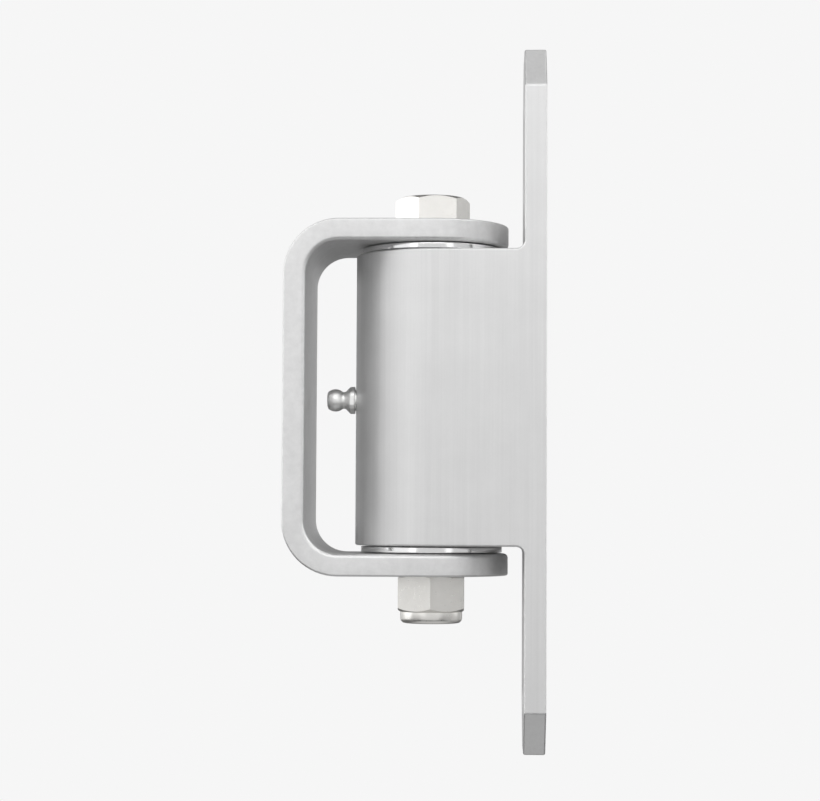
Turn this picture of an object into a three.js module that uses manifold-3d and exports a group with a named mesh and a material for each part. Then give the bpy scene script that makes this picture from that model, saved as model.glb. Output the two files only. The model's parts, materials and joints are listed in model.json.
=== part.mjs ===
// Greasable barrel gate hinge: a machined leaf with a bearing barrel, and a bent yoke that turns round it.
// Millimetres, +Z up along the pin. The origin is the centre of the leaf's back face, whose outward
// normal is +X; the barrel and the yoke stand off towards -X.
import * as THREE from "three";
import { mergeVertices } from "three/addons/utils/BufferGeometryUtils.js";
import Module from "manifold-3d";

const wasm = await Module();
wasm.setup();

// ---- driving dimensions ----
const BAR_WIDTH = 44.45; // common width of the leaf and the yoke, along Y
const BAR_THICKNESS = 6.35;
const PLATE_HEIGHT = 203.2;
const PLATE_CHAMFER = 12.7; // cut off each corner of the plate
const PIN_TO_BACK = 33; // pin axis to the leaf's back face
const BARREL_LENGTH = 84.4;
const ROOT_FILLET = 2.4; // between the barrel's ends and the plate
const MOUNT_HOLE = 10.5; // diameter, for 3/8 in or M10 bolts
const MOUNT_HOLE_HEIGHTS = [60, 86]; // above and below the middle of the plate
const YOKE_INSIDE = 88.9; // between the yoke's legs
const YOKE_REACH = 41.9; // pin axis to the web's outer face
const YOKE_BEND = 9.5; // inside radius of the two bends
const PIN_DIAMETER = 12.7;
const BEARING_OD = 34.925;
const BEARING_WIDTH = 11.11;
const BALL_DIAMETER = 6.35;
const BALLS_PER_BEARING = 8;
const BALL_PITCH_RADIUS = 11.9;
const WASHER_OD = 41;
const HEX_FLATS = 19.05; // bolt head and nut
const HEAD_HEIGHT = 8.2;
const HEAD_TURN = THREE.MathUtils.degToRad(10); // how the bolt head happens to stand
const NUT_HEIGHT = 13.6; // with its collar
const NUT_TURN = THREE.MathUtils.degToRad(30); // one corner points along -Y
const BOLT_LENGTH = 114.3; // under the head
const NIPPLE_REACH = 8.4; // from the barrel's nose to the nipple's tip
const NIPPLE_THREAD = 6.2; // diameter
const NIPPLE_BALL = 6.56; // diameter of the end that a grease gun grips
const NIPPLE_WAIST = 4.9; // diameter
const NIPPLE_BASE = 7.94; // diameter
const REST_GAP = 0.3; // left between stacked pieces
const FIT_GAP = 0.1; // radial, between pieces fitted one in the other
const BALL_GAP = 0.18; // between a ball and its grooves or pocket
const ROUND_SIDES = 48;
const RACE_SIDES = 32;
const SMALL_SIDES = 16;
const BALL_SIDES = 10;
const BALL_RINGS = 6;

// ---- sizes worked out from them ----
const HALF_WIDTH = BAR_WIDTH / 2;
const PIN_X = -PIN_TO_BACK;
const BARREL_TOP = BARREL_LENGTH / 2;
const NOSE_X = PIN_X - HALF_WIDTH;
const LEG_INNER = YOKE_INSIDE / 2;
const LEG_OUTER = LEG_INNER + BAR_THICKNESS;
const PIN_RADIUS = PIN_DIAMETER / 2 - FIT_GAP;
const RACE_BORE = PIN_DIAMETER / 2;
const SEAT_RADIUS = BEARING_OD / 2 + FIT_GAP;
const CAVITY_RADIUS = 14.3; // grease space, and the shoulder behind each outer race
const INNER_RACE_WIDTH = BEARING_WIDTH + 2 * REST_GAP;
const BEARING_Z = BARREL_TOP - INNER_RACE_WIDTH / 2;
const INNER_LAND = 9.3; // radius of the inner race beside its groove
const OUTER_LAND = 14.4; // radius of the outer race beside its groove
const GROOVE_RADIUS = BALL_DIAMETER / 2 + BALL_GAP;
const SHIELD_THICKNESS = 0.5;
const SHIELD_RECESS = 0.9; // depth of the step that holds the shield
const SHIELD_SEAT = 15.2;
const SLEEVE_RADIUS = 8.8;
const WASHER_THICKNESS = LEG_INNER - BARREL_TOP - 2 * REST_GAP;
const COLLAR_HEIGHT = 3.4;
const COLLAR_LIP = 0.6; // turned over the insert
const INSERT_RADIUS = 7.7;
const HEX_RIM = HEX_FLATS / 2 - 0.3; // radius of the turned face on the head and nut
const BOLT_POINT = 1.2; // chamfer at the threaded end
const CAGE_WALL = 3; // of the crown cage, across its pockets
const CAGE_TOP = 4.3; // above the balls' centres
const CAGE_BOTTOM = -2.1;

// ---- colours and finishes ----
function finish(color, roughness, metalness) {
  return new THREE.MeshStandardMaterial({ color, roughness, metalness });
}
const machinedAluminium = () => finish(0xc9cacb, 0.5, 0.85);
const barStock = () => finish(0xcdcecf, 0.55, 0.8);
const brightZinc = () => finish(0xd9d6c8, 0.3, 0.95);
const polishedSteel = () => finish(0xe2e3e4, 0.18, 1);
const springSteel = () => finish(0x8d9094, 0.35, 1);
const cagePolymer = () => finish(0x2f3336, 0.6, 0);
const nylon = () => finish(0xe9e6d8, 0.5, 0);

// ---- solids ----
function toSolid(geometry) {
  const bare = geometry.index ? geometry.toNonIndexed() : geometry.clone();
  bare.deleteAttribute("normal");
  bare.deleteAttribute("uv");
  const merged = mergeVertices(bare, 1e-4);
  return new wasm.Manifold(
    new wasm.Mesh({
      numProp: 3,
      vertProperties: new Float32Array(merged.attributes.position.array),
      triVerts: new Uint32Array(merged.index.array),
    }),
  );
}

function toGeometry(solid) {
  const mesh = solid.getMesh();
  const geometry = new THREE.BufferGeometry();
  geometry.setAttribute("position", new THREE.BufferAttribute(mesh.vertProperties, 3));
  geometry.setIndex(new THREE.BufferAttribute(mesh.triVerts, 1));
  geometry.computeVertexNormals();
  return geometry;
}

function join(first, ...others) {
  return others.reduce((whole, other) => whole.add(toSolid(other)), toSolid(first));
}

function cut(solid, ...tools) {
  return tools.reduce((rest, tool) => rest.subtract(toSolid(tool)), solid);
}

// A cylinder about Z between two heights.
function rod(radius, from, to, sides = ROUND_SIDES) {
  const geometry = new THREE.CylinderGeometry(radius, radius, to - from, sides);
  return geometry.rotateX(Math.PI / 2).translate(0, 0, (from + to) / 2);
}

// A profile of [radius, height] points turned about Z, from the axis round to the axis again.
function spun(points, sides = ROUND_SIDES) {
  const profile = points.map(([r, z]) => new THREE.Vector2(r, z));
  return new THREE.LatheGeometry(profile, sides).rotateX(Math.PI / 2);
}

// A profile clear of the axis, closed on itself, which makes a ring; its points run anticlockwise.
function turned(points, sides = ROUND_SIDES) {
  return spun([...points, points[0]], sides);
}

function ring(inner, outer, from, to, sides = ROUND_SIDES) {
  return turned([[inner, from], [outer, from], [outer, to], [inner, to]], sides);
}

// Points of an arc as [u, v] pairs, for profiles.
function arcPoints(u, v, radius, from, to, steps) {
  return Array.from({ length: steps + 1 }, (_, i) => {
    const angle = from + ((to - from) * i) / steps;
    return [u + radius * Math.cos(angle), v + radius * Math.sin(angle)];
  });
}

function extruded(shape, depth, curveSegments = ROUND_SIDES / 2) {
  return new THREE.ExtrudeGeometry(shape, { depth, bevelEnabled: false, curveSegments });
}

// An outline drawn in the X-Z plane, extruded through the bar width.
function acrossWidth(shape, width = BAR_WIDTH) {
  return extruded(shape, width, 8)
    .rotateX(Math.PI / 2)
    .translate(0, width / 2, 0);
}

// ---- leaf ----
// Plan of the barrel: a half-round nose about the pin, with flat sides running into the plate.
function barrelPlan() {
  const plan = new THREE.Shape();
  plan.moveTo(-BAR_THICKNESS / 2, -HALF_WIDTH);
  plan.lineTo(-BAR_THICKNESS / 2, HALF_WIDTH);
  plan.lineTo(PIN_X, HALF_WIDTH);
  plan.absarc(PIN_X, 0, HALF_WIDTH, Math.PI / 2, (3 * Math.PI) / 2, false);
  return plan;
}

// Outline of the plate in the Y-Z plane, an oblong with its corners cut off, extruded to -X.
function plateBlank() {
  const top = PLATE_HEIGHT / 2;
  const inner = HALF_WIDTH - PLATE_CHAMFER;
  const outline = new THREE.Shape([
    new THREE.Vector2(HALF_WIDTH, PLATE_CHAMFER - top),
    new THREE.Vector2(HALF_WIDTH, top - PLATE_CHAMFER),
    new THREE.Vector2(inner, top),
    new THREE.Vector2(-inner, top),
    new THREE.Vector2(-HALF_WIDTH, top - PLATE_CHAMFER),
    new THREE.Vector2(-HALF_WIDTH, PLATE_CHAMFER - top),
    new THREE.Vector2(-inner, -top),
    new THREE.Vector2(inner, -top),
  ]);
  return extruded(outline, BAR_THICKNESS)
    .rotateX(Math.PI / 2)
    .rotateZ(Math.PI / 2)
    .translate(-BAR_THICKNESS, 0, 0);
}

// The rounded inside corner between the plate and one end of the barrel (side is 1 or -1).
function rootFillet(side) {
  const face = -BAR_THICKNESS;
  const end = BARREL_TOP * side;
  const bite = 0.5; // how far it reaches into the metal on both sides
  const arc = arcPoints(face - ROOT_FILLET, 0, ROOT_FILLET, -Math.PI / 2, 0, 5);
  const points = [
    [face + bite, -bite],
    [face + bite, ROOT_FILLET],
    ...arc.reverse().map(([x, z]) => [x, z + ROOT_FILLET]),
    [face - ROOT_FILLET, -bite],
  ];
  const shape = new THREE.Shape(points.map(([x, z]) => new THREE.Vector2(x, end + side * z)));
  return acrossWidth(shape);
}

function barrelLeaf() {
  const barrel = extruded(barrelPlan(), BARREL_LENGTH).translate(0, 0, -BARREL_TOP);
  const blank = join(plateBlank(), barrel, rootFillet(1), rootFillet(-1));
  const seatDepth = INNER_RACE_WIDTH + REST_GAP / 2;
  const past = 2;
  const bores = [
    rod(CAVITY_RADIUS, -BARREL_TOP - past, BARREL_TOP + past),
    rod(SEAT_RADIUS, BARREL_TOP - seatDepth, BARREL_TOP + past),
    rod(SEAT_RADIUS, -BARREL_TOP - past, seatDepth - BARREL_TOP),
  ].map((tool) => tool.translate(PIN_X, 0, 0));
  const greaseHole = rod(NIPPLE_THREAD / 2 + FIT_GAP, 0, HALF_WIDTH, SMALL_SIDES)
    .rotateY(-Math.PI / 2)
    .translate(PIN_X - past, 0, 0);
  const holes = MOUNT_HOLE_HEIGHTS.flatMap((height) =>
    [height, -height].map((z) =>
      rod(MOUNT_HOLE / 2, -past, BAR_THICKNESS + past, SMALL_SIDES)
        .rotateY(-Math.PI / 2)
        .translate(0, 0, z),
    ),
  );
  return toGeometry(cut(blank, ...bores, greaseHole, ...holes));
}

// ---- yoke ----
// Side outline of the bent bar: web at the left, a leg above and a leg below.
function yokeSide() {
  const web = -YOKE_REACH;
  const legEnd = HALF_WIDTH;
  const outerBend = YOKE_BEND + BAR_THICKNESS;
  const side = new THREE.Shape();
  side.moveTo(legEnd, -LEG_OUTER);
  side.lineTo(legEnd, -LEG_INNER);
  side.lineTo(web + outerBend, -LEG_INNER);
  side.absarc(web + outerBend, YOKE_BEND - LEG_INNER, YOKE_BEND, -Math.PI / 2, -Math.PI, true);
  side.lineTo(web + BAR_THICKNESS, LEG_INNER - YOKE_BEND);
  side.absarc(web + outerBend, LEG_INNER - YOKE_BEND, YOKE_BEND, Math.PI, Math.PI / 2, true);
  side.lineTo(legEnd, LEG_INNER);
  side.lineTo(legEnd, LEG_OUTER);
  side.lineTo(web + outerBend, LEG_OUTER);
  side.absarc(web + outerBend, LEG_OUTER - outerBend, outerBend, Math.PI / 2, Math.PI, false);
  side.lineTo(web, outerBend - LEG_OUTER);
  side.absarc(web + outerBend, outerBend - LEG_OUTER, outerBend, Math.PI, (3 * Math.PI) / 2, false);
  return side;
}

// Plan of the yoke: square at the web, half-round about the pin at the leg ends.
function yokePlan() {
  const past = 5;
  const plan = new THREE.Shape();
  plan.moveTo(-YOKE_REACH - past, -HALF_WIDTH);
  plan.lineTo(0, -HALF_WIDTH);
  plan.absarc(0, 0, HALF_WIDTH, -Math.PI / 2, Math.PI / 2, false);
  plan.lineTo(-YOKE_REACH - past, HALF_WIDTH);
  return plan;
}

function yokeBracket() {
  const bent = toSolid(acrossWidth(yokeSide(), BAR_WIDTH + 2));
  const plan = extruded(yokePlan(), 2 * LEG_OUTER + 4).translate(0, 0, -LEG_OUTER - 2);
  const boltHole = rod(PIN_DIAMETER / 2 + REST_GAP, -LEG_OUTER - 1, LEG_OUTER + 1);
  return toGeometry(cut(bent.intersect(toSolid(plan)), boltHole));
}

// A hexagonal blank from zero up to its height, with the corners turned off at 30 degrees on top.
function hexBlank(height) {
  const corner = HEX_FLATS / Math.sqrt(3);
  const past = 1;
  const wide = corner + past;
  const drop = (wide - HEX_RIM) * Math.tan(Math.PI / 6);
  const turnedBlank = spun([
    [0, -past],
    [wide, -past],
    [wide, height - drop],
    [HEX_RIM, height],
    [0, height],
  ]);
  return toGeometry(toSolid(rod(corner, 0, height, 6)).intersect(toSolid(turnedBlank)));
}

function pivotBolt() {
  const under = LEG_OUTER + REST_GAP;
  const tip = under - BOLT_LENGTH;
  const inHead = under + 1;
  const shank = spun([
    [0, tip],
    [PIN_RADIUS - BOLT_POINT, tip],
    [PIN_RADIUS, tip + BOLT_POINT],
    [PIN_RADIUS, inHead],
    [0, inHead],
  ]);
  const head = hexBlank(HEAD_HEIGHT).rotateZ(HEAD_TURN).translate(0, 0, under);
  return toGeometry(join(head, shank));
}

// The nut stands under the lower leg, its collar pointing down, with a groove for the nylon insert.
function lockNut() {
  const top = -LEG_OUTER - REST_GAP;
  const bottom = top - NUT_HEIGHT;
  const collarTop = bottom + COLLAR_HEIGHT;
  const hex = hexBlank(top - collarTop)
    .rotateX(Math.PI)
    .rotateZ(NUT_TURN)
    .translate(0, 0, top);
  const collar = rod(HEX_FLATS / 2 - 0.5, bottom, collarTop + 1);
  const groove = rod(INSERT_RADIUS + FIT_GAP, bottom + COLLAR_LIP, collarTop - FIT_GAP);
  const lip = rod(INSERT_RADIUS - 0.5, bottom - 1, bottom + 1);
  const bore = rod(PIN_DIAMETER / 2 + FIT_GAP, bottom - 1, top + 1);
  return toGeometry(cut(join(hex, collar), groove, lip, bore));
}

function lockNutInsert() {
  const bottom = -LEG_OUTER - REST_GAP - NUT_HEIGHT;
  const low = bottom + COLLAR_LIP + FIT_GAP;
  const high = bottom + COLLAR_HEIGHT - 2 * FIT_GAP;
  return ring(PIN_RADIUS + FIT_GAP, INSERT_RADIUS, low, high);
}

function thrustWasher(side) {
  const near = side * (BARREL_TOP + REST_GAP);
  const far = side * (BARREL_TOP + REST_GAP + WASHER_THICKNESS);
  const bore = PIN_RADIUS + REST_GAP;
  return ring(bore, WASHER_OD / 2, Math.min(near, far), Math.max(near, far));
}

function spacerSleeve() {
  const half = BARREL_TOP - INNER_RACE_WIDTH - REST_GAP;
  return ring(RACE_BORE, SLEEVE_RADIUS, -half, half, RACE_SIDES);
}

// ---- bearings, each drawn about its own middle with its shield at +Z ----
function grooveArc(land, sign) {
  const reach = Math.acos((BALL_PITCH_RADIUS - land) * sign / GROOVE_RADIUS);
  const centre = sign > 0 ? Math.PI : 0;
  return arcPoints(BALL_PITCH_RADIUS, 0, GROOVE_RADIUS, centre - reach, centre + reach, 4);
}

function innerRace() {
  const half = INNER_RACE_WIDTH / 2;
  const groove = grooveArc(INNER_LAND, 1).reverse();
  return turned(
    [[RACE_BORE, -half], [INNER_LAND, -half], ...groove, [INNER_LAND, half], [RACE_BORE, half]],
    RACE_SIDES,
  );
}

function outerRace() {
  const half = BEARING_WIDTH / 2;
  const rim = BEARING_OD / 2;
  const groove = grooveArc(OUTER_LAND, -1).reverse();
  return turned(
    [
      [rim, -half],
      [rim, half],
      [SHIELD_SEAT, half],
      [SHIELD_SEAT, half - SHIELD_RECESS],
      [OUTER_LAND, half - SHIELD_RECESS],
      ...groove,
      [OUTER_LAND, -half],
    ],
    RACE_SIDES,
  );
}

function shield() {
  const top = BEARING_WIDTH / 2 - FIT_GAP;
  return ring(INNER_LAND + REST_GAP, SHIELD_SEAT - REST_GAP, top - SHIELD_THICKNESS, top, RACE_SIDES);
}

function sphere(radius) {
  return new THREE.SphereGeometry(radius, BALL_SIDES, BALL_RINGS);
}

function ballPlace(index) {
  const angle = (2 * Math.PI * index) / BALLS_PER_BEARING;
  return [BALL_PITCH_RADIUS * Math.cos(angle), BALL_PITCH_RADIUS * Math.sin(angle), 0];
}

// A crown cage: a ring with a round pocket for each ball, open towards -Z so that the balls snap in.
function crownCage() {
  const inner = BALL_PITCH_RADIUS - CAGE_WALL / 2;
  const body = toSolid(ring(inner, inner + CAGE_WALL, CAGE_BOTTOM, CAGE_TOP, RACE_SIDES));
  const pockets = Array.from({ length: BALLS_PER_BEARING }, (_, i) =>
    sphere(GROOVE_RADIUS).translate(...ballPlace(i)),
  );
  return toGeometry(cut(body, ...pockets));
}

// ---- grease nipple, drawn along +Z from the barrel's nose at zero to its tip ----
function nippleBody() {
  const threadEnd = -5.6;
  const baseTop = 2.2;
  const ballCentre = NIPPLE_REACH - 2.35;
  const bore = 1.5; // radius of the spring's bore
  const mouth = 0.8; // radius of the opening in the tip
  const tip = 1.9; // radius of the flat round it
  const outside = [
    [bore, threadEnd],
    [NIPPLE_THREAD / 2, threadEnd],
    [NIPPLE_THREAD / 2, REST_GAP],
    [NIPPLE_BASE / 2, REST_GAP],
    [NIPPLE_BASE / 2, baseTop],
    [NIPPLE_WAIST / 2, baseTop + 1.1],
    [NIPPLE_WAIST / 2, ballCentre - 2.1],
    ...arcPoints(0, ballCentre, NIPPLE_BALL / 2, -0.68, 0.62, 5),
    [tip, NIPPLE_REACH],
    [mouth, NIPPLE_REACH],
    [mouth, NIPPLE_REACH - 0.9],
    [bore, NIPPLE_REACH - 1.7],
  ];
  return turned(outside, SMALL_SIDES);
}

const CHECK_BALL_RADIUS = 1.2;
const CHECK_BALL_SEAT = NIPPLE_REACH - 1.96; // its centre when it closes the tip
const SPRING_WIRE_RADIUS = 0.25;
const SPRING_TOP = CHECK_BALL_SEAT - CHECK_BALL_RADIUS - SPRING_WIRE_RADIUS - FIT_GAP;

function nippleSpring() {
  const turns = 4;
  const low = -5;
  const radius = 0.95;
  const steps = 8; // points in each turn
  const points = Array.from({ length: turns * steps + 1 }, (_, i) => {
    const angle = (2 * Math.PI * i) / steps;
    const rise = (i / (turns * steps)) * (SPRING_TOP - low);
    return new THREE.Vector3(radius * Math.cos(angle), radius * Math.sin(angle), low + rise);
  });
  const wire = new THREE.Shape();
  wire.absarc(0, 0, SPRING_WIRE_RADIUS, 0, 2 * Math.PI, false);
  return new THREE.ExtrudeGeometry(wire, {
    steps: turns * steps,
    curveSegments: 5,
    extrudePath: new THREE.CatmullRomCurve3(points),
  });
}

// ---- assembly ----
function part(name, geometry, material) {
  const mesh = new THREE.Mesh(geometry, material);
  mesh.name = name;
  return mesh;
}

const hinge = new THREE.Group();
const pinAxis = new THREE.Group();
pinAxis.position.x = PIN_X;
hinge.add(part("barrel_leaf", barrelLeaf(), machinedAluminium()), pinAxis);

pinAxis.add(
  part("yoke_bracket", yokeBracket(), barStock()),
  part("pivot_bolt", pivotBolt(), brightZinc()),
  part("lock_nut", lockNut(), brightZinc()),
  part("lock_nut_insert", lockNutInsert(), nylon()),
  part("upper_thrust_washer", thrustWasher(1), polishedSteel()),
  part("lower_thrust_washer", thrustWasher(-1), polishedSteel()),
  part("spacer_sleeve", spacerSleeve(), springSteel()),
);

for (const [name, side] of [["upper", 1], ["lower", -1]]) {
  const bearing = new THREE.Group();
  bearing.position.z = side * BEARING_Z;
  if (side < 0) bearing.rotation.x = Math.PI;
  bearing.add(
    part(name + "_inner_race", innerRace(), polishedSteel()),
    part(name + "_outer_race", outerRace(), polishedSteel()),
    part(name + "_bearing_shield", shield(), springSteel()),
    part(name + "_ball_cage", crownCage(), cagePolymer()),
  );
  for (let i = 0; i < BALLS_PER_BEARING; i++) {
    const ball = part(
      name + "_ball_" + (i + 1),
      sphere(BALL_DIAMETER / 2),
      polishedSteel(),
    );
    ball.position.set(...ballPlace(i));
    bearing.add(ball);
  }
  pinAxis.add(bearing);
}

const nipple = new THREE.Group();
nipple.position.x = NOSE_X;
nipple.rotation.y = -Math.PI / 2;
const checkBall = part(
  "nipple_check_ball",
  sphere(CHECK_BALL_RADIUS),
  polishedSteel(),
);
checkBall.position.z = CHECK_BALL_SEAT;
nipple.add(
  part("grease_nipple", nippleBody(), brightZinc()),
  checkBall,
  part("nipple_spring", nippleSpring(), springSteel()),
);
hinge.add(nipple);

export default hinge;
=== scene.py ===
"""The looks of a greasable barrel gate hinge, built round its CAD frame. Blender 4.5, metres, +Z up."""

import json
import math

import bmesh
import bpy
from mathutils import Matrix, Vector


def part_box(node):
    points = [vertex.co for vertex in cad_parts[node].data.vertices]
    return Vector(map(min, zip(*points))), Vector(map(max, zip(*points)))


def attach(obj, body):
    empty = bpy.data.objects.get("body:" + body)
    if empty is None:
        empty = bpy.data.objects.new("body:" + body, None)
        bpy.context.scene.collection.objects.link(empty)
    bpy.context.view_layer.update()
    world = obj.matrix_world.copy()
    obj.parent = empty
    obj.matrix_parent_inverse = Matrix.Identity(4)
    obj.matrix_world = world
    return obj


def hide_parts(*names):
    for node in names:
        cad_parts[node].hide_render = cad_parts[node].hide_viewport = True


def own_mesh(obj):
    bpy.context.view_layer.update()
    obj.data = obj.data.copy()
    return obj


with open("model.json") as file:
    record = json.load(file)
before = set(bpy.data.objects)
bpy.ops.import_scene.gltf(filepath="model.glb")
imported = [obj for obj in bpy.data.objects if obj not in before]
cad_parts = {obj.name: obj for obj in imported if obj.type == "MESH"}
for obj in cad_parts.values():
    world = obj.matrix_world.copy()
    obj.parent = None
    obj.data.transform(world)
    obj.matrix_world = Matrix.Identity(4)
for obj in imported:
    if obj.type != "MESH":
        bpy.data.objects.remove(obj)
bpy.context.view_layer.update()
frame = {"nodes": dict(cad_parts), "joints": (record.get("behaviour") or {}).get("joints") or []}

MM = 0.001


# ---- sizes, from the frame ----
def low(node):
    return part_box(node)[0]


def high(node):
    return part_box(node)[1]


swing = next(j for j in frame["joints"] if j["name"] == "swing")
PIN_X = swing["pos_m"][0]
REST_GAP = 0.3 * MM  # the CAD model leaves this between stacked pieces
HALF_WIDTH = high("barrel_leaf").y
PLATE_TOP = high("barrel_leaf").z
BARREL_TOP = high("upper_inner_race").z
LEG_INNER = high("upper_thrust_washer").z + REST_GAP
LEG_OUTER = high("yoke_bracket").z
WEB_OUTER = low("yoke_bracket").x
BAR = LEG_OUTER - LEG_INNER  # thickness of the plate and of the yoke's bar
NOSE_X = low("barrel_leaf").x

# ---- sizes of details ----
PLATE_CHAMFER = 12.7 * MM
ROOT_FILLET = 2.4 * MM
YOKE_BEND = 9.5 * MM
MOUNT_HOLE_RADIUS = 5.25 * MM
MOUNT_HOLE_HEIGHTS = (60 * MM, 86 * MM)
GREASE_SPACE_RADIUS = 14.3 * MM
NIPPLE_HOLE_RADIUS = 3.2 * MM
BOLT_HOLE_RADIUS = 6.65 * MM
FIT = 0.1 * MM  # play round a piece that sits in another
NEAR = 0.1 * MM  # a point closer than this to a face counts as on it
OVERCUT = 5 * MM  # how far a cutting tool reaches past the part
LEAF_EDGE = 0.75 * MM  # rounding of the leaf's edges, where there is room for it
YOKE_EDGE = 1.2 * MM  # rounding of the yoke's inner edges, where there is room for it

HEX_FLATS = 19.05 * MM
HEX_RIM = HEX_FLATS / 2 - 0.3 * MM  # radius at a hexagon's end, inside its chamfer
WASHER_FACE = 0.35 * MM  # height of the round face under the bolt's head and the nut
HEAD_TURN = math.radians(10)  # how the bolt's head and the nut happen to stand
NUT_TURN = math.radians(30)
BOLT_RADIUS = 6.25 * MM
THREAD_LENGTH = 32 * MM
THREAD_PITCH = 1.954 * MM  # thirteen to the inch
THREAD_DEPTH = 0.55 * MM
SHAFT_BORE = 6.35 * MM  # radius inside the inner races, the sleeve and the nylon ring
NUT_BORE = 6.45 * MM
WASHER_BORE = 6.55 * MM
NUT_COLLAR = 3.4 * MM  # height of the round collar that holds the nylon ring

PITCH_RADIUS = 11.9 * MM  # of the ring of balls
GROOVE_RADIUS = 3.355 * MM
INNER_LAND = 9.3 * MM  # radius of a race beside its groove
OUTER_LAND = 14.4 * MM
SHIELD_SEAT = 15.2 * MM  # radius of the step in the outer race that holds the shield
SHIELD_DEPTH = 0.9 * MM
SHIELD_BORE = 9.6 * MM

ROUND = 128  # sides of a large round
SMALL_ROUND = 64  # sides of a drilled hole
HEX_SIDES = 96  # points round the hexagonal parts and the races


# ---- mesh helpers ----
def arc_angles(sweep, steps):
    return [sweep * i / steps for i in range(steps + 1)]


def full_turn(sides):
    return arc_angles(2 * math.pi, sides)[:-1]


def circle(bm, radius, height, sides):
    return [bm.verts.new((radius * math.cos(a), radius * math.sin(a), height)) for a in full_turn(sides)]


def bridge(bm, rings):
    """Walls between each ring of vertices and the next."""
    for first, second in zip(rings, rings[1:]):
        for i in range(len(first)):
            k = (i + 1) % len(first)
            bm.faces.new((first[i], first[k], second[k], second[i]))


def mesh_object(name, bm):
    """A new object in the scene from a bmesh, smooth shaded, its faces pointing out."""
    bmesh.ops.recalc_face_normals(bm, faces=bm.faces)
    mesh = bpy.data.meshes.new(name)
    bm.to_mesh(mesh)
    bm.free()
    mesh.polygons.foreach_set("use_smooth", [True] * len(mesh.polygons))
    obj = bpy.data.objects.new(name, mesh)
    bpy.context.scene.collection.objects.link(obj)
    return obj


def apply_modifiers(obj):
    """Replaces the mesh by what its modifiers make of it."""
    graph = bpy.context.evaluated_depsgraph_get()
    final = bpy.data.meshes.new_from_object(obj.evaluated_get(graph))
    obj.modifiers.clear()
    obj.data = final


def carve(obj, *tools):
    """Cuts the tools out of obj and removes them."""
    for tool in tools:
        cutter = obj.modifiers.new("cut", "BOOLEAN")
        cutter.operation = "DIFFERENCE"
        cutter.solver = "EXACT"
        cutter.object = tool
    apply_modifiers(obj)
    for tool in tools:
        bpy.data.objects.remove(tool)


def ease_edges(obj, width, share_at, segments=3, angle=math.radians(35)):
    """Rounds each sharp edge by the share of width that share_at(its middle) gives; at 0 it stays sharp."""
    bm = bmesh.new()
    bm.from_mesh(obj.data)
    weight = bm.edges.layers.float.new("bevel_weight_edge")
    for edge in bm.edges:
        if edge.is_manifold and edge.calc_face_angle() > angle:
            middle = (edge.verts[0].co + edge.verts[1].co) / 2
            edge[weight] = share_at(middle)
            edge.smooth = edge[weight] > 0
    bm.to_mesh(obj.data)
    bm.free()
    bevel = obj.modifiers.new("edges", "BEVEL")
    bevel.width = width
    bevel.segments = segments
    bevel.limit_method = "WEIGHT"
    bevel.use_clamp_overlap = True
    normals = obj.modifiers.new("normals", "WEIGHTED_NORMAL")
    normals.weight = 80
    normals.keep_sharp = True
    apply_modifiers(obj)


def lathe(profile, sides=ROUND, closed=False):
    """A bmesh of (radius, height) points turned about Z. An open profile starts and ends on the axis."""
    bm = bmesh.new()
    rings = []
    for radius, height in profile:
        on_axis = radius < 1e-9
        rings.append([bm.verts.new((0, 0, height))] if on_axis else circle(bm, radius, height, sides))
    if closed:
        rings.append(rings[0])
    for first, second in zip(rings, rings[1:]):
        for i in range(sides):
            k = (i + 1) % sides
            corners = [first[i % len(first)], first[k % len(first)]]
            corners += [second[k % len(second)], second[i % len(second)]]
            corners = list(dict.fromkeys(corners))  # a ring on the axis is one vertex
            if len(corners) > 2:
                bm.faces.new(corners)
    return bm


def rounded(profile, radius, steps=3):
    """The same closed profile with each corner rounded off by radius, or by a point's own third value."""
    out = []
    for i, point in enumerate(profile):
        size = point[2] if len(point) > 2 else radius
        here = Vector(point[:2])
        if size <= 0:
            out.append(tuple(here))
            continue
        before = Vector(profile[i - 1][:2]) - here
        after = Vector(profile[(i + 1) % len(profile)][:2]) - here
        size = min(size, before.length * 0.45, after.length * 0.45)  # two corners share each side
        start = here + before.normalized() * size
        end = here + after.normalized() * size
        for k in range(steps + 1):
            t = k / steps
            out.append(tuple((1 - t) ** 2 * start + 2 * t * (1 - t) * here + t * t * end))
    return out


def place(bm, x=0.0, z=0.0, turn=0.0, flip=False, along=None):
    """Turns and moves a bmesh drawn about Z: flip stands it on its head, along="x" lays it towards -X."""
    matrix = Matrix.Rotation(turn, 4, "Z")
    if flip:
        matrix = Matrix.Rotation(math.pi, 4, "X") @ matrix
    if along == "x":
        matrix = Matrix.Rotation(-math.pi / 2, 4, "Y") @ matrix
    bmesh.ops.transform(bm, matrix=Matrix.Translation((x, 0, z)) @ matrix, verts=bm.verts)
    return bm


def adopt(obj, body, slot, material, *nodes):
    """Gives a piece its body, its material and the CAD nodes it stands for."""
    obj.data.materials.clear()
    obj.data.materials.append(material)
    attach(obj, body)
    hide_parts(*nodes)


def finish_node(node, material):
    """Gives a CAD node that stays its material."""
    materials = frame["nodes"][node].data.materials
    materials.clear()
    materials.append(material)


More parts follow.
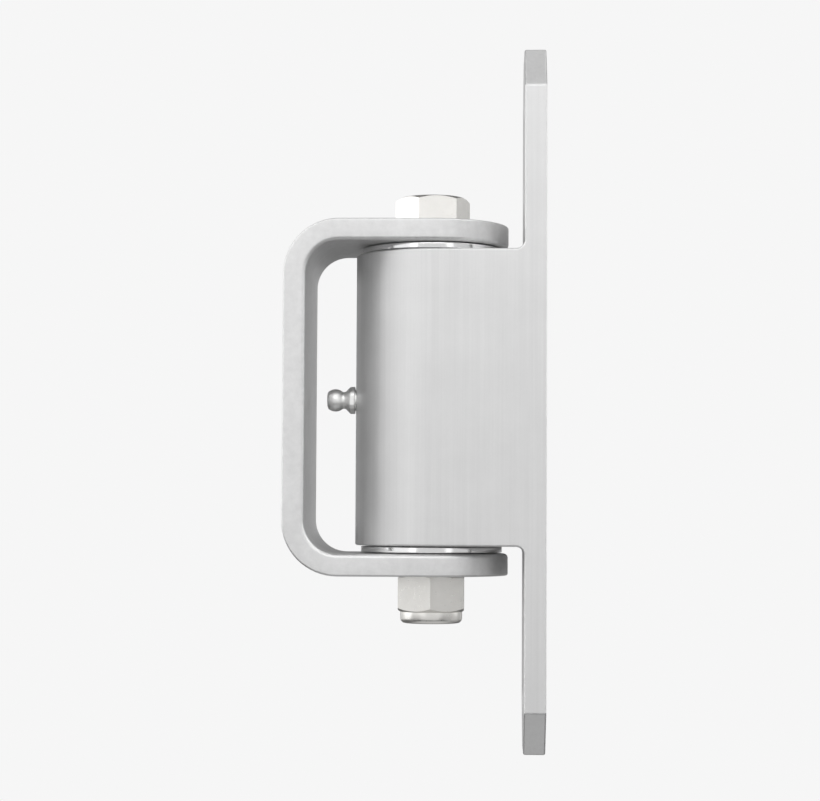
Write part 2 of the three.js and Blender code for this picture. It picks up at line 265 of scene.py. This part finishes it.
# ---- materials ----
class Nodes:
    """A short way to build one node material."""

    def __init__(self, name, metallic):
        self.material = bpy.data.materials.new(name)
        self.material.use_nodes = True
        self.tree = self.material.node_tree
        self.shader = self.tree.nodes["Principled BSDF"]
        self.coords = self.tree.nodes.new("ShaderNodeTexCoord").outputs["Object"]
        self.shader.inputs["Metallic"].default_value = metallic

    def link(self, out, into):
        self.tree.links.new(out, into)

    def noise(self, scale, stretch=(1, 1, 1), detail=4.0, roughness=0.6):
        mapping = self.tree.nodes.new("ShaderNodeMapping")
        mapping.inputs["Scale"].default_value = stretch
        noise = self.tree.nodes.new("ShaderNodeTexNoise")
        noise.inputs["Scale"].default_value = scale
        noise.inputs["Detail"].default_value = detail
        noise.inputs["Roughness"].default_value = roughness
        self.link(self.coords, mapping.inputs["Vector"])
        self.link(mapping.outputs["Vector"], noise.inputs["Vector"])
        return noise.outputs["Fac"]

    def spread(self, value, from_low, from_high, to_low, to_high):
        node = self.tree.nodes.new("ShaderNodeMapRange")
        node.inputs["From Min"].default_value = from_low
        node.inputs["From Max"].default_value = from_high
        node.inputs["To Min"].default_value = to_low
        node.inputs["To Max"].default_value = to_high
        self.link(value, node.inputs["Value"])
        return node.outputs["Result"]

    def blend(self, first, second, share):
        """share of the first value and the rest of the second."""
        parts = []
        for value, part in ((first, share), (second, 1 - share)):
            node = self.tree.nodes.new("ShaderNodeMath")
            node.operation = "MULTIPLY"
            self.link(value, node.inputs[0])
            node.inputs[1].default_value = part
            parts.append(node.outputs["Value"])
        total = self.tree.nodes.new("ShaderNodeMath")
        total.operation = "ADD"
        self.link(parts[0], total.inputs[0])
        self.link(parts[1], total.inputs[1])
        return total.outputs["Value"]

    def between(self, fac, dark, light):
        node = self.tree.nodes.new("ShaderNodeMix")
        node.data_type = "RGBA"
        self.link(fac, node.inputs["Factor"])
        node.inputs[6].default_value = (*dark, 1)  # the colour sockets A and B
        node.inputs[7].default_value = (*light, 1)
        return node.outputs[2]

    def bump(self, height, strength, distance):
        node = self.tree.nodes.new("ShaderNodeBump")
        node.inputs["Strength"].default_value = strength
        node.inputs["Distance"].default_value = distance
        self.link(height, node.inputs["Height"])
        self.link(node.outputs["Normal"], self.shader.inputs["Normal"])

    def finish(self, color, roughness):
        self.link(color, self.shader.inputs["Base Color"])
        self.link(roughness, self.shader.inputs["Roughness"])
        return self.material


def scaled(tone, factor):
    return tuple(c * factor for c in tone)


def bare_aluminium(name, tone, stretch, streak, contrast=1.0):
    """Satin aluminium with drawing lines that run along one axis, and a fine speckle."""
    m = Nodes(name, 1.0)
    lines = m.noise(900, stretch, detail=3)
    cloud = m.noise(45, detail=3)
    speck = m.noise(1500, detail=2)
    shade = m.spread(m.blend(lines, cloud, streak), 0.35, 0.65, 0.0, 1.0)
    color = m.between(shade, scaled(tone, 1 - 0.05 * contrast), scaled(tone, 1 + 0.035 * contrast))
    roughness = m.spread(m.blend(lines, speck, 0.5), 0.3, 0.7, 0.42, 0.56)
    m.bump(m.blend(lines, speck, 0.6), 0.25, 0.08 * MM)
    return m.finish(color, roughness)


def bright_metal(name, tone, rough, grain=2500, speckle=0.06):
    """Plated or polished steel with faint turning marks."""
    m = Nodes(name, 1.0)
    cloud = m.noise(120, detail=3)
    fine = m.noise(grain, (1, 1, 3), detail=2)
    color = m.between(m.spread(cloud, 0.35, 0.65, 0, 1), scaled(tone, 1 - speckle), tone)
    m.bump(fine, 0.08, 0.04 * MM)
    return m.finish(color, m.spread(fine, 0.3, 0.7, rough * 0.8, rough * 1.25))


def plastic(name, tone, rough):
    m = Nodes(name, 0.0)
    cloud = m.noise(300, detail=3)
    color = m.between(cloud, scaled(tone, 0.9), tone)
    m.bump(m.noise(2500), 0.15, 0.05 * MM)
    return m.finish(color, m.spread(cloud, 0.3, 0.7, rough * 0.9, rough * 1.1))


leaf_metal = bare_aluminium("extruded_aluminium", (0.80, 0.80, 0.80), (1, 1, 0.012), 0.55)
yoke_metal = bare_aluminium("bar_aluminium", (0.82, 0.82, 0.82), (0.5, 0.5, 0.5), 0.5, 1.6)
zinc = bright_metal("bright_zinc", (0.97, 0.955, 0.92), 0.34, 900)
nipple_metal = bright_metal("plated_nipple", (1.0, 1.0, 0.99), 0.4, 1200, 0.02)
polished = bright_metal("polished_steel", (0.93, 0.93, 0.93), 0.15)
plain_steel = bright_metal("plain_steel", (0.56, 0.57, 0.58), 0.35)
cage_black = plastic("cage_polymer", (0.035, 0.036, 0.04), 0.5)
nylon_white = plastic("natural_nylon", (0.82, 0.8, 0.7), 0.45)


# ---- leaf ----
def leaf_blank():
    """Plate and barrel as one body: a side outline through the width, and a half-round nose."""
    fillet_x = -BAR - ROOT_FILLET
    fillet_z = BARREL_TOP + ROOT_FILLET
    fillet = [  # from the barrel's end up to the plate's face
        (fillet_x + ROOT_FILLET * math.sin(a), fillet_z - ROOT_FILLET * math.cos(a))
        for a in arc_angles(math.pi / 2, 8)
    ]
    upper = [(PIN_X, BARREL_TOP)] + fillet + [(-BAR, PLATE_TOP), (0, PLATE_TOP)]
    outline = upper + [(x, -z) for x, z in reversed(upper)]
    bm = bmesh.new()
    near = [bm.verts.new((x, -HALF_WIDTH, z)) for x, z in outline]
    far = [bm.verts.new((x, HALF_WIDTH, z)) for x, z in outline]
    bm.faces.new(near)
    bm.faces.new(list(reversed(far)))
    for i in range(1, len(outline) - 2):  # the barrel's ends and nose are made below
        bm.faces.new((near[i], far[i], far[i + 1], near[i + 1]))
    angles = arc_angles(math.pi, ROUND // 2)[1:-1]
    nose = [(PIN_X - HALF_WIDTH * math.sin(a), -HALF_WIDTH * math.cos(a)) for a in angles]
    tops = [near[0]] + [bm.verts.new((x, y, BARREL_TOP)) for x, y in nose] + [far[0]]
    bottoms = [near[-1]] + [bm.verts.new((x, y, -BARREL_TOP)) for x, y in nose] + [far[-1]]
    for i in range(len(tops) - 1):
        bm.faces.new((tops[i], tops[i + 1], bottoms[i + 1], bottoms[i]))
    bm.faces.new(tops + [far[1], near[1]])
    bm.faces.new(list(reversed(bottoms)) + [near[-2], far[-2]])
    for side_y in (-1, 1):
        for side_z in (-1, 1):
            cut = bmesh.ops.bisect_plane(
                bm,
                geom=bm.verts[:] + bm.edges[:] + bm.faces[:],
                plane_co=(0, side_y * HALF_WIDTH, side_z * (PLATE_TOP - PLATE_CHAMFER)),
                plane_no=(0, side_y, side_z),
                clear_outer=True,
            )
            rim = [e for e in cut["geom_cut"] if isinstance(e, bmesh.types.BMEdge)]
            bmesh.ops.edgeloop_fill(bm, edges=rim)
    return mesh_object("leaf", bm)


def bore_tool():
    """The bearing seats at both ends and the grease space between them."""
    seat = high("upper_outer_race").x - PIN_X + FIT
    shoulder = low("upper_outer_race").z - REST_GAP
    past = BARREL_TOP + OVERCUT
    profile = [(0, -past), (seat, -past), (seat, -shoulder), (GREASE_SPACE_RADIUS, -shoulder)]
    profile += [(r, -z) for r, z in reversed(profile)]
    return mesh_object("bore_tool", place(lathe(profile), PIN_X))


def drill(radius, x, z, depth):
    """A drill lying along X, from x towards -X."""
    profile = [(0, 0), (radius, 0), (radius, depth), (0, depth)]
    return mesh_object("drill", place(lathe(profile, SMALL_ROUND), x, z, along="x"))


def leaf_rounding(point):
    """All the outer edges are rounded. Those in the bore and round the nipple's hole stay sharp."""
    near_axis = math.hypot(point.x - PIN_X, point.y) < HALF_WIDTH - 2 * MM
    inside = abs(point.z) < BARREL_TOP - NEAR
    at_nipple = point.x < NOSE_X + 1 * MM and abs(point.z) < 5 * MM
    return 0.0 if (near_axis and inside) or at_nipple else 1.0


def make_leaf():
    leaf = leaf_blank()
    drills = [
        drill(MOUNT_HOLE_RADIUS, OVERCUT, side * height, BAR + 2 * OVERCUT)
        for height in MOUNT_HOLE_HEIGHTS
        for side in (1, -1)
    ]
    nipple_hole = drill(NIPPLE_HOLE_RADIUS, PIN_X - 10 * MM, 0, 20 * MM)  # from the grease space outwards
    carve(leaf, bore_tool(), *drills, nipple_hole)
    ease_edges(leaf, LEAF_EDGE, leaf_rounding)
    adopt(leaf, "leaf", "machined_aluminium", leaf_metal, "barrel_leaf")


# ---- yoke ----
def yoke_rounding(point):
    """The bar's edges are rounded fully on the inside of the bends and half as much elsewhere."""
    inside = abs(point.z) < LEG_INNER + NEAR and point.x > WEB_OUTER + BAR / 2
    return 1.0 if inside else 0.5


def make_yoke():
    """A bar bent twice, its two ends rounded about the pin and drilled for the bolt."""
    bend_outer = YOKE_BEND + BAR
    centre_x = WEB_OUTER + bend_outer
    centre_z = LEG_OUTER - bend_outer
    bm = bmesh.new()

    def across(x, z):
        return bm.verts.new((x, -HALF_WIDTH, z)), bm.verts.new((x, HALF_WIDTH, z))

    def skin(radius, leg_z):
        """One surface of the bent bar, as pairs of points from the upper leg round to the lower."""
        bend = arc_angles(math.pi / 2, 16)
        arc = [(centre_x - radius * math.sin(a), centre_z + radius * math.cos(a)) for a in bend]
        upper = [(PIN_X, leg_z)] + arc
        return [across(x, z) for x, z in upper] + [across(x, -z) for x, z in reversed(upper)]

    def round_end(z):
        angles = arc_angles(math.pi, ROUND // 2)[1:-1]
        points = [(PIN_X + HALF_WIDTH * math.sin(a), -HALF_WIDTH * math.cos(a)) for a in angles]
        return [bm.verts.new((x, y, z)) for x, y in points]

    outer = skin(bend_outer, LEG_OUTER)
    inner = skin(YOKE_BEND, LEG_INNER)
    tip = {z: round_end(z) for z in (LEG_OUTER, LEG_INNER, -LEG_INNER, -LEG_OUTER)}
    last = len(outer) - 1
    for i in range(1, last - 1):  # bends and web
        bm.faces.new((outer[i][0], outer[i][1], outer[i + 1][1], outer[i + 1][0]))
        bm.faces.new((inner[i][1], inner[i][0], inner[i + 1][0], inner[i + 1][1]))
    for i in range(last):  # the two side faces
        bm.faces.new((outer[i][0], outer[i + 1][0], inner[i + 1][0], inner[i][0]))
        bm.faces.new((outer[i + 1][1], outer[i][1], inner[i][1], inner[i + 1][1]))
    for pairs, end, before, z in (  # flats of the legs, with their round tips
        (outer, 0, 1, LEG_OUTER),
        (inner, 0, 1, LEG_INNER),
        (inner, last, last - 1, -LEG_INNER),
        (outer, last, last - 1, -LEG_OUTER),
    ):
        bm.faces.new([pairs[before][0], pairs[end][0], *tip[z], pairs[end][1], pairs[before][1]])
    for top, bottom, pair_top, pair_bottom in (  # walls of the round tips
        (tip[LEG_OUTER], tip[LEG_INNER], outer[0], inner[0]),
        (tip[-LEG_INNER], tip[-LEG_OUTER], inner[last], outer[last]),
    ):
        upper = [pair_top[0], *top, pair_top[1]]
        lower = [pair_bottom[0], *bottom, pair_bottom[1]]
        for i in range(len(upper) - 1):
            bm.faces.new((upper[i], upper[i + 1], lower[i + 1], lower[i]))
    yoke = mesh_object("yoke", bm)
    past = LEG_OUTER + OVERCUT
    profile = [(0, -past), (BOLT_HOLE_RADIUS, -past), (BOLT_HOLE_RADIUS, past), (0, past)]
    carve(yoke, mesh_object("drill", place(lathe(profile, SMALL_ROUND), PIN_X)))
    ease_edges(yoke, YOKE_EDGE, yoke_rounding)
    adopt(yoke, "yoke", "bar_stock", yoke_metal, "yoke_bracket")


# ---- bolt and nut ----
def hexagon(angle):
    """Distance from the middle to the hexagon's side in that direction, for a flat-to-flat of one."""
    return 0.5 / math.cos((angle % (math.pi / 3)) - math.pi / 6)


def hex_rings(bm, height):
    """Rings of a hexagonal part, from the round face it sits on at zero up to its chamfered end."""
    turn = full_turn(HEX_SIDES)
    face = HEX_FLATS / 2 * 0.97
    slope = math.tan(math.radians(30))
    reach = [HEX_FLATS * hexagon(a) for a in turn]
    chamfered = [height - max(0.0, r - HEX_RIM) * slope for r in reach]

    def ring(heights):
        points = zip(turn, reach, heights)
        return [bm.verts.new((r * math.cos(a), r * math.sin(a), z)) for a, r, z in points]

    return [
        circle(bm, face, 0, HEX_SIDES),
        circle(bm, face, WASHER_FACE, HEX_SIDES),
        ring([WASHER_FACE] * HEX_SIDES),
        ring(chamfered),
        circle(bm, HEX_RIM, height, HEX_SIDES),
    ]


def make_bolt():
    """Head, shank and a helical thread that fades in below the plain shank, with a tapered tip."""
    node_low, node_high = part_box("pivot_bolt")
    under = LEG_OUTER + REST_GAP
    tip = node_low.z
    thread_end = tip + THREAD_LENGTH
    head = node_high.z - under
    bm = bmesh.new()
    rings = hex_rings(bm, head)
    rings.append(circle(bm, HEX_RIM - 0.9 * MM, head, HEX_SIDES))
    bmesh.ops.rotate(bm, verts=bm.verts, cent=(0, 0, 0), matrix=Matrix.Rotation(HEAD_TURN, 3, "Z"))
    bridge(bm, rings)
    bm.faces.new(rings[-1])
    neck = circle(bm, BOLT_RADIUS + 0.5 * MM, 0.0, HEX_SIDES)
    shank = [rings[0], neck, circle(bm, BOLT_RADIUS, -0.5 * MM, HEX_SIDES)]
    steps = 10  # rings in each turn of thread
    taper = 1.2 * MM
    count = int((thread_end - tip) / THREAD_PITCH * steps)
    for i in range(count + 1):
        z = thread_end - (thread_end - tip - 0.2 * MM) * i / count - under
        depth = THREAD_DEPTH * min(1.0, i / (1.5 * steps))
        to_tip = (z + under - tip) / taper
        ring = []
        for k, angle in enumerate(full_turn(HEX_SIDES)):
            wave = abs(((z / THREAD_PITCH - k / HEX_SIDES) % 1.0) * 2 - 1)
            r = BOLT_RADIUS - depth * min(1.0, max(0.0, 1.35 * wave - 0.18))
            r = min(r, BOLT_RADIUS - taper + max(0.0, to_tip) * taper)
            ring.append(bm.verts.new((r * math.cos(angle), r * math.sin(angle), z)))
        shank.append(ring)
    shank.append(circle(bm, BOLT_RADIUS - 1.5 * MM, tip - under, HEX_SIDES))
    bridge(bm, shank)
    bm.faces.new(shank[-1])
    bolt = mesh_object("bolt", place(bm, PIN_X, under))
    bolt.data.set_sharp_from_angle(angle=math.radians(40))
    adopt(bolt, "yoke", "bright_zinc", zinc, "pivot_bolt")


def make_nut():
    """A hexagon and a round collar whose rim is rolled over the nylon ring, upside down under the yoke."""
    node_low, node_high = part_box("lock_nut")
    height = node_high.z - node_low.z
    hexagon_top = height - NUT_COLLAR
    wall = HEX_FLATS / 2 - 0.5 * MM
    seat = high("lock_nut_insert").x - PIN_X + FIT
    collar = [
        (wall, hexagon_top + 0.12 * MM),
        (wall, height - 1.3 * MM),
        (wall - 0.25 * MM, height - 0.6 * MM),
        (wall - 0.8 * MM, height - 0.12 * MM),
        (wall - 1.3 * MM, height),
    ]
    rim = [(seat - 0.45 * MM, height - 0.1 * MM), (seat - 0.55 * MM, height - 0.5 * MM)]
    pocket = [(seat, height - 0.62 * MM), (seat, hexagon_top + 0.1 * MM)]
    bore = [
        (NUT_BORE + 0.4 * MM, hexagon_top + 0.05 * MM),
        (NUT_BORE, hexagon_top - 0.4 * MM),
        (NUT_BORE, 0.6 * MM),
        (NUT_BORE + 0.7 * MM, 0.0),
    ]
    bm = bmesh.new()
    loops = hex_rings(bm, hexagon_top)
    loops += [circle(bm, r, z, HEX_SIDES) for r, z in collar + rim + pocket + bore]
    bridge(bm, loops + [loops[0]])
    nut = mesh_object("nut", place(bm, PIN_X, node_high.z, NUT_TURN, flip=True))
    nut.data.set_sharp_from_angle(angle=math.radians(40))
    adopt(nut, "yoke", "bright_zinc", zinc, "lock_nut")


def ring_piece(name, node, body, slot, material, inner, edge=0.2 * MM):
    """A flat ring in place of a CAD node, its corners rounded."""
    node_low, node_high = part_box(node)
    outer = (node_high.x - node_low.x) / 2
    middle = (node_high.z + node_low.z) / 2
    half = (node_high.z - node_low.z) / 2
    profile = rounded([(inner, -half), (outer, -half), (outer, half), (inner, half)], edge)
    piece = mesh_object(name, place(lathe(profile, closed=True), PIN_X, middle))
    piece.data.set_sharp_from_angle(angle=math.radians(50))
    adopt(piece, body, slot, material, node)


# ---- grease nipple ----
def make_nipple():
    """A hex base, a waist and the ball end that a grease gun grips, on the barrel's nose."""
    reach = NOSE_X - low("grease_nipple").x
    thread = 3.0 * MM
    thread_tip = -5.6 * MM
    bore = 1.5 * MM
    flats = 7.9 * MM
    waist = 2.45 * MM
    ball = 3.27 * MM
    ball_middle = reach - 2.35 * MM
    ball_from, ball_to = -math.acos(waist / ball), 0.70
    # the base by height in mm and share of the hexagon, the mouth by radius and depth in mm
    base = [(0.3, 0.97), (0.45, 1.0), (1.5, 1.0), (1.75, 0.93), (2.5, 0.42), (2.95, 0.12)]
    mouth = [(2.1, 0.08), (1.8, 0.0), (0.95, 0.0), (0.8, 0.12), (0.8, 0.9), (1.5, 1.7)]
    turn = full_turn(HEX_SIDES)
    hex_radius = [min(flats * hexagon(a) * 0.93, flats / 2) for a in turn]
    bm = bmesh.new()

    def hex_ring(z, share):
        """From the round waist at a share of 0 to the full hexagon at 1."""
        radii = [share * r + (1 - share) * waist for r in hex_radius]
        return [bm.verts.new((r * math.cos(a), r * math.sin(a), z)) for a, r in zip(turn, radii)]

    stem = [(bore, thread_tip), (thread - 0.4 * MM, thread_tip), (thread, -5.0 * MM), (thread, 0.2 * MM)]
    arc = [ball_from + a for a in arc_angles(ball_to - ball_from, 12)]
    head = [(waist, 3.3 * MM)] + [(ball * math.cos(a), ball_middle + ball * math.sin(a)) for a in arc]
    head += [(r * MM, reach - depth * MM) for r, depth in mouth]
    loops = [circle(bm, r, z, HEX_SIDES) for r, z in stem]
    loops += [hex_ring(z * MM, share) for z, share in base]
    loops += [circle(bm, r, z, HEX_SIDES) for r, z in head]
    bridge(bm, loops + [loops[0]])
    nipple = mesh_object("nipple", place(bm, NOSE_X, 0, along="x"))
    nipple.data.set_sharp_from_angle(angle=math.radians(50))
    adopt(nipple, "leaf", "plated_nipple", nipple_metal, "grease_nipple")


def make_spring():
    """The coil behind the nipple's check ball, which in the real nipple shortens when the ball is pushed
    in.
    """
    node_low, node_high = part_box("nipple_spring")
    wire = 0.25 * MM
    coil = (node_high.y - node_low.y) / 2 - wire
    turns, steps, sides = 4, 24, 10
    first, last = node_high.x - wire, node_low.x + wire
    along = Vector((1, 0, 0))
    bm = bmesh.new()
    rings = []
    for i in range(turns * steps + 1):
        angle = 2 * math.pi * i / steps
        outward = Vector((0, math.cos(angle), math.sin(angle)))
        centre = coil * outward + (first + (last - first) * i / (turns * steps)) * along
        section = [math.cos(b) * outward + math.sin(b) * along for b in full_turn(sides)]
        rings.append([bm.verts.new(centre + wire * spoke) for spoke in section])
    bridge(bm, rings)
    bm.faces.new(rings[0])
    bm.faces.new(rings[-1])
    spring = mesh_object("valve_spring", bm)
    adopt(spring, "leaf", "plain_steel", plain_steel, "nipple_spring")
    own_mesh(spring)


# ---- bearings ----
def make_ball(node, body):
    node_low, node_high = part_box(node)
    radius = (node_high.z - node_low.z) / 2
    bm = bmesh.new()
    bmesh.ops.create_uvsphere(bm, u_segments=32, v_segments=16, radius=radius)
    bmesh.ops.translate(bm, verts=bm.verts, vec=(node_low + node_high) / 2)
    adopt(mesh_object(node + "_fine", bm), body, "polished_steel", polished, node)


def race_profile(node, is_inner):
    """Half section of a race about its own middle. The outer race has a step that holds the shield."""
    node_low, node_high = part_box(node)
    half = (node_high.z - node_low.z) / 2
    side = 1 if is_inner else -1
    back = SHAFT_BORE if is_inner else (node_high.x - node_low.x) / 2
    land = INNER_LAND if is_inner else OUTER_LAND
    reach = math.acos(abs(PITCH_RADIUS - land) / GROOVE_RADIUS)
    arc = [a - reach for a in arc_angles(2 * reach, 12)]
    across = side * GROOVE_RADIUS
    groove = [(PITCH_RADIUS - across * math.cos(a), GROOVE_RADIUS * math.sin(a), 0) for a in arc]
    top = [(land, half)]
    if not is_inner:
        step = half - SHIELD_DEPTH
        top = [(land, step, 0), (SHIELD_SEAT, step, 0), (SHIELD_SEAT, half)]
    return rounded([(back, -half), (land, -half)] + groove + top + [(back, half)], 0.3 * MM)


def make_race(node, body, is_inner, flip):
    node_low, node_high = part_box(node)
    bm = lathe(race_profile(node, is_inner), HEX_SIDES, closed=True)
    race = mesh_object(node + "_fine", place(bm, PIN_X, (node_low.z + node_high.z) / 2, flip=flip))
    race.data.set_sharp_from_angle(angle=math.radians(40))
    adopt(race, body, "polished_steel", polished, node)


def make_bearing(end, flip):
    make_race(end + "_inner_race", "yoke", True, flip)
    make_race(end + "_outer_race", "leaf", False, flip)
    shield = end + "_bearing_shield"
    ring_piece(end + "_shield_fine", shield, "leaf", "plain_steel", plain_steel, SHIELD_BORE, 0.12 * MM)
    cage = end + "_ball_cage"
    for node in frame["nodes"]:
        if node.startswith(end + "_ball_") and node != cage:
            make_ball(node, end + "_cage")
    finish_node(cage, cage_black)


# ---- all the pieces ----
make_leaf()
make_yoke()
make_bolt()
make_nut()
ring_piece("nut_insert", "lock_nut_insert", "yoke", "nylon", nylon_white, SHAFT_BORE)
for end in ("upper", "lower"):
    washer = end + "_thrust_washer"
    ring_piece(end + "_washer", washer, "yoke", "polished_steel", polished, WASHER_BORE, 0.25 * MM)
ring_piece("sleeve", "spacer_sleeve", "yoke", "plain_steel", plain_steel, SHAFT_BORE, 0.4 * MM)
make_nipple()
make_ball("nipple_check_ball", "check_ball")
make_spring()
make_bearing("upper", False)
make_bearing("lower", True)


# ---- stage ----
BACKDROP = 0.9225  # brightness of the pale floor and of what is beyond it
WORLD_LIGHT = 0.089  # strength of the even light from all round
FLOOR_Z = -0.25
SOFT_BOXES = (  # place in metres, width of the square box, power in watts
    (-0.015, -1.6, 0.1, 2.2, 9.0),
    (-0.015, -1.25, 1.0, 1.2, 5.2),
    (-1.15, -1.15, 0.1, 1.2, 3.9),
    (1.1, -1.15, 0.1, 1.2, 2.4),
    (-1.6, 0.1, 0.1, 1.2, 7.0),
    (1.6, 0.1, 0.1, 1.2, 6.6),
    (-1.15, -0.3, 1.1, 1.2, 7.2),
    (1.15, -0.3, 1.1, 1.2, 9.0),
    (-0.03, -0.1, 1.6, 2.2, 7.0),
    (-0.03, -0.1, -1.6, 2.2, 6.2),
    (1.15, 1.15, 0.1, 1.2, 2.6),
    (-1.15, 1.15, 0.1, 1.2, 2.7),
    (-0.03, 1.6, 0.1, 1.2, 1.2),
)


def soft_box(x, y, z, size, power):
    """A square lamp that looks at the pin."""
    data = bpy.data.lights.new("soft_box", "AREA")
    data.energy = power
    data.shape = "SQUARE"
    data.size = size
    lamp = bpy.data.objects.new("soft_box", data)
    bpy.context.scene.collection.objects.link(lamp)
    lamp.location = (x, y, z)
    lamp.rotation_euler = (Vector((PIN_X, 0, 0)) - Vector((x, y, z))).to_track_quat("-Z", "Y").to_euler()


def floor_material():
    """An even pale glow from above, clear from below so that the camera can look from there too."""
    material = bpy.data.materials.new("sweep")
    material.use_nodes = True
    tree = material.node_tree
    shader = tree.nodes["Principled BSDF"]
    shader.inputs["Base Color"].default_value = (0, 0, 0, 1)
    shader.inputs["Roughness"].default_value = 1
    shader.inputs["Specular IOR Level"].default_value = 0
    shader.inputs["Emission Color"].default_value = (BACKDROP, BACKDROP, BACKDROP, 1)
    shader.inputs["Emission Strength"].default_value = 1
    clear = tree.nodes.new("ShaderNodeBsdfTransparent")
    side = tree.nodes.new("ShaderNodeMixShader")
    tree.links.new(tree.nodes.new("ShaderNodeNewGeometry").outputs["Backfacing"], side.inputs[0])
    tree.links.new(shader.outputs[0], side.inputs[1])
    tree.links.new(clear.outputs[0], side.inputs[2])
    tree.links.new(side.outputs[0], tree.nodes["Material Output"].inputs["Surface"])
    return material


def make_floor():
    """A floor that only the camera sees, and that casts no shadow."""
    bm = bmesh.new()
    bmesh.ops.create_grid(bm, x_segments=1, y_segments=1, size=6)
    floor = mesh_object("floor", bm)
    floor.location = (0, 0, FLOOR_Z)
    floor.data.materials.append(floor_material())
    floor.visible_glossy = False
    floor.visible_diffuse = False
    floor.visible_shadow = False


def make_world():
    """The backdrop's brightness to the camera, and a much weaker even light to everything else."""
    world = bpy.data.worlds.new("studio")
    bpy.context.scene.world = world
    world.use_nodes = True
    tree = world.node_tree
    seen = tree.nodes["Background"]
    seen.inputs["Color"].default_value = (BACKDROP, BACKDROP, BACKDROP, 1)
    lighting = tree.nodes.new("ShaderNodeBackground")
    lighting.inputs["Color"].default_value = (1, 1, 1, 1)
    lighting.inputs["Strength"].default_value = WORLD_LIGHT
    rays = tree.nodes.new("ShaderNodeLightPath")
    mix = tree.nodes.new("ShaderNodeMixShader")
    tree.links.new(rays.outputs["Is Camera Ray"], mix.inputs[0])
    tree.links.new(lighting.outputs[0], mix.inputs[1])
    tree.links.new(seen.outputs[0], mix.inputs[2])
    tree.links.new(mix.outputs[0], tree.nodes["World Output"].inputs["Surface"])


def make_camera():
    """Level with the lower half of the hinge, nearly square to its side, looking a little up and left."""
    data = bpy.data.cameras.new("camera")
    camera = bpy.data.objects.new("camera", data)
    bpy.context.scene.collection.objects.link(camera)
    distance = 0.6
    camera.location = (-0.015, -HALF_WIDTH - distance, -0.033)
    yaw = Matrix.Rotation(math.radians(2.252), 4, "Z")
    pitch = Matrix.Rotation(math.pi / 2 + math.radians(3.037), 4, "X")
    roll = Matrix.Rotation(math.radians(0.293), 4, "Z")
    camera.rotation_euler = (yaw @ pitch @ roll).to_euler()
    data.sensor_width = 36
    data.lens = 93.55
    data.clip_start = 0.01
    data.clip_end = 50
    bpy.context.scene.camera = camera
    bpy.context.scene.view_settings.view_transform = "Standard"
    bpy.context.scene.view_settings.look = "None"


make_floor()
make_world()
for box in SOFT_BOXES:
    soft_box(*box)
make_camera()
